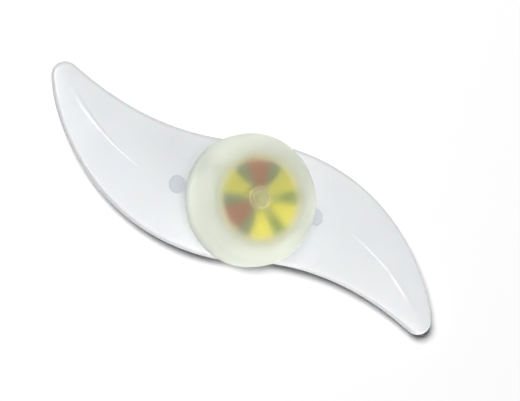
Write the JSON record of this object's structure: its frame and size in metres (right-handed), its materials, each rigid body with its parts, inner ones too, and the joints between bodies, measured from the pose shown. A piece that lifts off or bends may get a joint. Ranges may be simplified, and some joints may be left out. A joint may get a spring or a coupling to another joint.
{
  "type": "spoke wheel light",
  "caption": "S-shaped clear leaf that glows from its hub, with a soft push cap over a coloured disc and a rear clamp that traps two bicycle spokes.",
  "frame": {"origin": "on the hub's axis, at the rear clamp's flat back face, on which the light rests", "axes": "+Z out of the front through the push cap, X along the leaf from tip to tip"},
  "size_m": [0.15, 0.0528, 0.0185],
  "materials": {
    "clear_leaf": "frosted clear moulding",
    "silicone": "translucent soft satin",
    "white_plastic": "moulded white",
    "lid_plastic": "warm white gloss",
    "print_teal": "printed",
    "print_yellow": "printed",
    "print_red": "printed",
    "cell_steel": "plated can",
    "contact_brass": "stamped strip",
    "board_green": "solder mask",
    "black_plastic": "moulded black",
    "tin_steel": "tinned",
    "plunger_plastic": "moulded black",
    "led_epoxy": "clear lens",
    "clear_clamp": "frosted clear moulding",
    "grey_stud": "grey nylon"
  },
  "bodies": {
    "light": {"leaf": "clear_leaf", "push_cap": "silicone", "housing_cup": "white_plastic", "lid": "lid_plastic", "colour_disc": "print_teal", "yellow_petals": "print_yellow", "red_petals": "print_red", "cell_carrier": "white_plastic", "cell_a": "cell_steel", "cell_b": "cell_steel", "cell_c": "cell_steel", "negative_contact": "contact_brass", "positive_contact": "contact_brass", "upper_link": "contact_brass", "lower_link": "contact_brass", "circuit_board": "board_green", "driver_chip": "black_plastic", "chip_resistors": "black_plastic", "switch_body": "black_plastic", "switch_cover": "tin_steel", "led_left": "led_epoxy", "led_right": "led_epoxy", "led_left_leads": "tin_steel", "led_right_leads": "tin_steel", "rear_clamp": "clear_clamp", "stud_left": "grey_stud", "stud_right": "grey_stud"},
    "plunger": {"switch_plunger": "plunger_plastic"}
  },
  "joints": [
    {"name": "button_press", "type": "slide", "parent": "light", "child": "plunger", "axis": [0, 0, -1], "range_m": [0, 0.00025], "stiffness_N_per_m": 2000, "springref_m": -0.0005, "deforming": ["push_cap"]}
  ]
}
